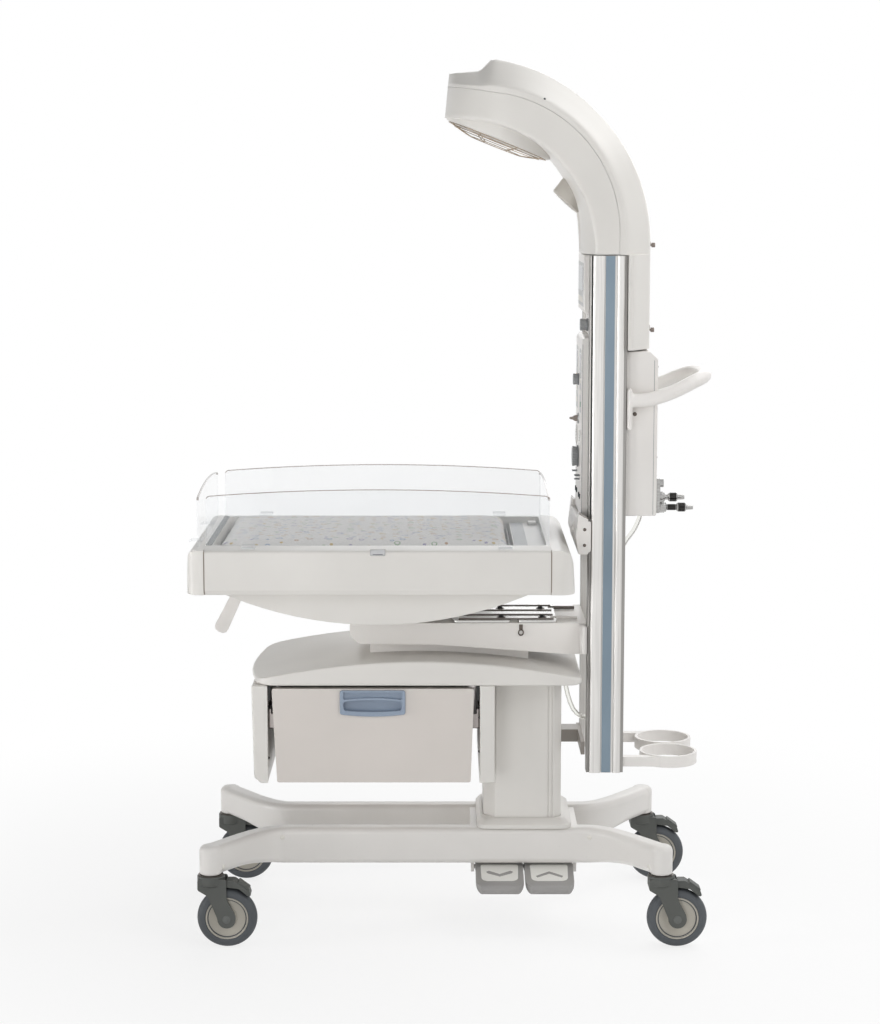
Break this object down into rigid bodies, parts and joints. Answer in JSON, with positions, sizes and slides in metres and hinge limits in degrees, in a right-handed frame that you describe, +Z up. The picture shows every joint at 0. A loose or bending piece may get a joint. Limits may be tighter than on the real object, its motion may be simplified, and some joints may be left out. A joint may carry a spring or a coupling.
{
  "type": "infant radiant warmer",
  "caption": "Wheeled infant warmer: swept base rails on swivel casters, lift column, cabinet with drawer, tilting bed with fold-down clear walls, and a mast arching over to a guarded heater.",
  "frame": {"origin": "centre of the bounding box on the floor", "axes": "+Z up, +X along the bed toward the mast, +Y away from the pedal side"},
  "size_m": [1.1136, 0.551, 1.8528],
  "materials": {
    "white_plastic": "satin moulded",
    "painted_steel": "powder coat",
    "aluminium": "anodised",
    "steel": "polished",
    "grey_plastic": "moulded",
    "rubber": "moulded",
    "element": "quartz tube",
    "blue_plastic": "satin moulded",
    "black_steel": "coated",
    "clear_acrylic": "polished",
    "covered_foam": "printed cover"
  },
  "bodies": {
    "base": {"base_rail_near": "painted_steel", "base_rail_far": "painted_steel", "base_bridge": "painted_steel", "column_collar": "white_plastic", "lift_column": "aluminium"},
    "carriage": {"column_sleeve": "white_plastic", "cabinet_top": "white_plastic", "cabinet_wall_foot": "white_plastic", "cabinet_wall_head": "white_plastic", "drawer_runner_foot": "black_steel", "drawer_runner_head": "black_steel", "support_beam": "white_plastic", "tilt_cradle": "steel", "mast_rail_near": "aluminium", "mast_rail_far": "aluminium", "mast_foot_bracket": "grey_plastic", "control_panel": "white_plastic", "control_module": "white_plastic", "gas_box": "white_plastic", "module_foot": "white_plastic", "arch_shell": "white_plastic", "arch_cover": "white_plastic", "heater_reflector": "steel", "heater_element": "element", "heater_guard": "steel", "push_handle": "white_plastic", "gas_inlets": "steel", "canister_rings": "white_plastic", "supply_hose": "clear_acrylic"},
    "drawer": {"drawer": "white_plastic", "drawer_handle": "blue_plastic"},
    "bed": {"bed_pan": "white_plastic", "bed_cap_foot": "white_plastic", "bed_cap_head": "white_plastic", "mattress": "covered_foam", "panel_head": "clear_acrylic"},
    "pedal_down": {"pedal_down": "grey_plastic"},
    "pedal_up": {"pedal_up": "grey_plastic"},
    "panel_near": {"panel_near": "clear_acrylic"},
    "panel_far": {"panel_far": "clear_acrylic"},
    "panel_foot": {"panel_foot": "clear_acrylic"},
    "side_latch": {"side_latch": "grey_plastic"},
    "tilt_lever": {"tilt_lever": "white_plastic"},
    "knob_upper": {"knob_upper": "grey_plastic"},
    "knob_dial": {"knob_dial": "grey_plastic"},
    "knob_lower": {"knob_lower": "grey_plastic"},
    "toggle_lever": {"toggle_lever": "grey_plastic"},
    "exam_light": {"exam_light": "grey_plastic"},
    "caster_nl": {"caster_fork_nl": "grey_plastic"},
    "wheel_nl": {"caster_wheel_nl": "rubber"},
    "brake_nl": {"caster_brake_nl": "grey_plastic"},
    "caster_nr": {"caster_fork_nr": "grey_plastic"},
    "wheel_nr": {"caster_wheel_nr": "rubber"},
    "brake_nr": {"caster_brake_nr": "grey_plastic"},
    "caster_fl": {"caster_fork_fl": "grey_plastic"},
    "wheel_fl": {"caster_wheel_fl": "rubber"},
    "brake_fl": {"caster_brake_fl": "grey_plastic"},
    "caster_fr": {"caster_fork_fr": "grey_plastic"},
    "wheel_fr": {"caster_wheel_fr": "rubber"},
    "brake_fr": {"caster_brake_fr": "grey_plastic"}
  },
  "joints": [
    {"name": "lift", "type": "slide", "parent": "base", "child": "carriage", "axis": [0, 0, 1], "range_m": [0, 0.2]},
    {"name": "drawer_slide", "type": "slide", "parent": "carriage", "child": "drawer", "axis": [0, -1, 0], "range_m": [0, 0.3]},
    {"name": "bed_tilt", "type": "hinge", "parent": "carriage", "child": "bed", "pos_m": [-0.15665, 0, 0.72], "axis": [0, 1, 0], "range_deg": [-10, 10]},
    {"name": "panel_near_fold", "type": "hinge", "parent": "bed", "child": "panel_near", "pos_m": [0, -0.2685, 0.8543], "axis": [1, 0, 0], "range_deg": [0, 170]},
    {"name": "panel_far_fold", "type": "hinge", "parent": "bed", "child": "panel_far", "pos_m": [0, 0.2685, 0.8543], "axis": [-1, 0, 0], "range_deg": [0, 170]},
    {"name": "panel_foot_fold", "type": "hinge", "parent": "bed", "child": "panel_foot", "pos_m": [-0.55415, 0, 0.8503], "axis": [0, -1, 0], "range_deg": [0, 170]},
    {"name": "side_latch_press", "type": "slide", "parent": "bed", "child": "side_latch", "axis": [0, 1, 0], "range_m": [0, 0.003], "stiffness_N_per_m": 150},
    {"name": "tilt_lever_squeeze", "type": "hinge", "parent": "bed", "child": "tilt_lever", "pos_m": [-0.44565, 0, 0.752], "axis": [0, 1, 0], "range_deg": [0, 12], "stiffness_Nm_per_rad": 1, "springref_deg": -5.73},
    {"name": "pedal_down_press", "type": "hinge", "parent": "base", "child": "pedal_down", "pos_m": [0.10285, -0.06, 0.118], "axis": [1, 0, 0], "range_deg": [0, 8], "stiffness_Nm_per_rad": 5, "springref_deg": -5.73},
    {"name": "pedal_up_press", "type": "hinge", "parent": "base", "child": "pedal_up", "pos_m": [0.20985, -0.06, 0.118], "axis": [1, 0, 0], "range_deg": [0, 8], "stiffness_Nm_per_rad": 5, "springref_deg": -5.73},
    {"name": "knob_upper_turn", "type": "hinge", "parent": "carriage", "child": "knob_upper", "pos_m": [0.29235, 0, 1.298], "axis": [-1, 0, 0], "range_deg": [-135, 135]},
    {"name": "knob_dial_turn", "type": "hinge", "parent": "carriage", "child": "knob_dial", "pos_m": [0.27335, 0, 1.181], "axis": [-1, 0, 0], "range_deg": [-135, 135]},
    {"name": "knob_lower_turn", "type": "hinge", "parent": "carriage", "child": "knob_lower", "pos_m": [0.27335, 0, 1.0145], "axis": [-1, 0, 0], "range_deg": [-135, 135]},
    {"name": "toggle_flip", "type": "hinge", "parent": "carriage", "child": "toggle_lever", "pos_m": [0.26655, 0, 1.097], "axis": [0, 1, 0], "range_deg": [0, 12]},
    {"name": "exam_light_aim", "type": "hinge", "parent": "carriage", "child": "exam_light", "pos_m": [0.26048, 0, 1.58027], "axis": [0, 1, 0], "range_deg": [-15, 15]},
    {"name": "swivel_nl", "type": "hinge", "parent": "base", "child": "caster_nl", "pos_m": [-0.50865, -0.247, 0.15], "axis": [0, 0, 1], "continuous": true},
    {"name": "wheel_spin_nl", "type": "hinge", "parent": "caster_nl", "child": "wheel_nl", "pos_m": [-0.47465, -0.247, 0.0635], "axis": [0, 1, 0], "continuous": true},
    {"name": "brake_nl", "type": "hinge", "parent": "caster_nl", "child": "brake_nl", "pos_m": [-0.47165, -0.247, 0.14], "axis": [0, 1, 0], "range_deg": [-8, 0]},
    {"name": "swivel_nr", "type": "hinge", "parent": "base", "child": "caster_nr", "pos_m": [0.44035, -0.247, 0.15], "axis": [0, 0, 1], "continuous": true},
    {"name": "wheel_spin_nr", "type": "hinge", "parent": "caster_nr", "child": "wheel_nr", "pos_m": [0.47435, -0.247, 0.0635], "axis": [0, 1, 0], "continuous": true},
    {"name": "brake_nr", "type": "hinge", "parent": "caster_nr", "child": "brake_nr", "pos_m": [0.47735, -0.247, 0.14], "axis": [0, 1, 0], "range_deg": [-8, 0]},
    {"name": "swivel_fl", "type": "hinge", "parent": "base", "child": "caster_fl", "pos_m": [-0.50865, 0.247, 0.15], "axis": [0, 0, 1], "continuous": true},
    {"name": "wheel_spin_fl", "type": "hinge", "parent": "caster_fl", "child": "wheel_fl", "pos_m": [-0.47465, 0.247, 0.0635], "axis": [0, 1, 0], "continuous": true},
    {"name": "brake_fl", "type": "hinge", "parent": "caster_fl", "child": "brake_fl", "pos_m": [-0.47165, 0.247, 0.14], "axis": [0, 1, 0], "range_deg": [-8, 0]},
    {"name": "swivel_fr", "type": "hinge", "parent": "base", "child": "caster_fr", "pos_m": [0.44035, 0.247, 0.15], "axis": [0, 0, 1], "continuous": true},
    {"name": "wheel_spin_fr", "type": "hinge", "parent": "caster_fr", "child": "wheel_fr", "pos_m": [0.47435, 0.247, 0.0635], "axis": [0, 1, 0], "continuous": true},
    {"name": "brake_fr", "type": "hinge", "parent": "caster_fr", "child": "brake_fr", "pos_m": [0.47735, 0.247, 0.14], "axis": [0, 1, 0], "range_deg": [-8, 0]}
  ]
}
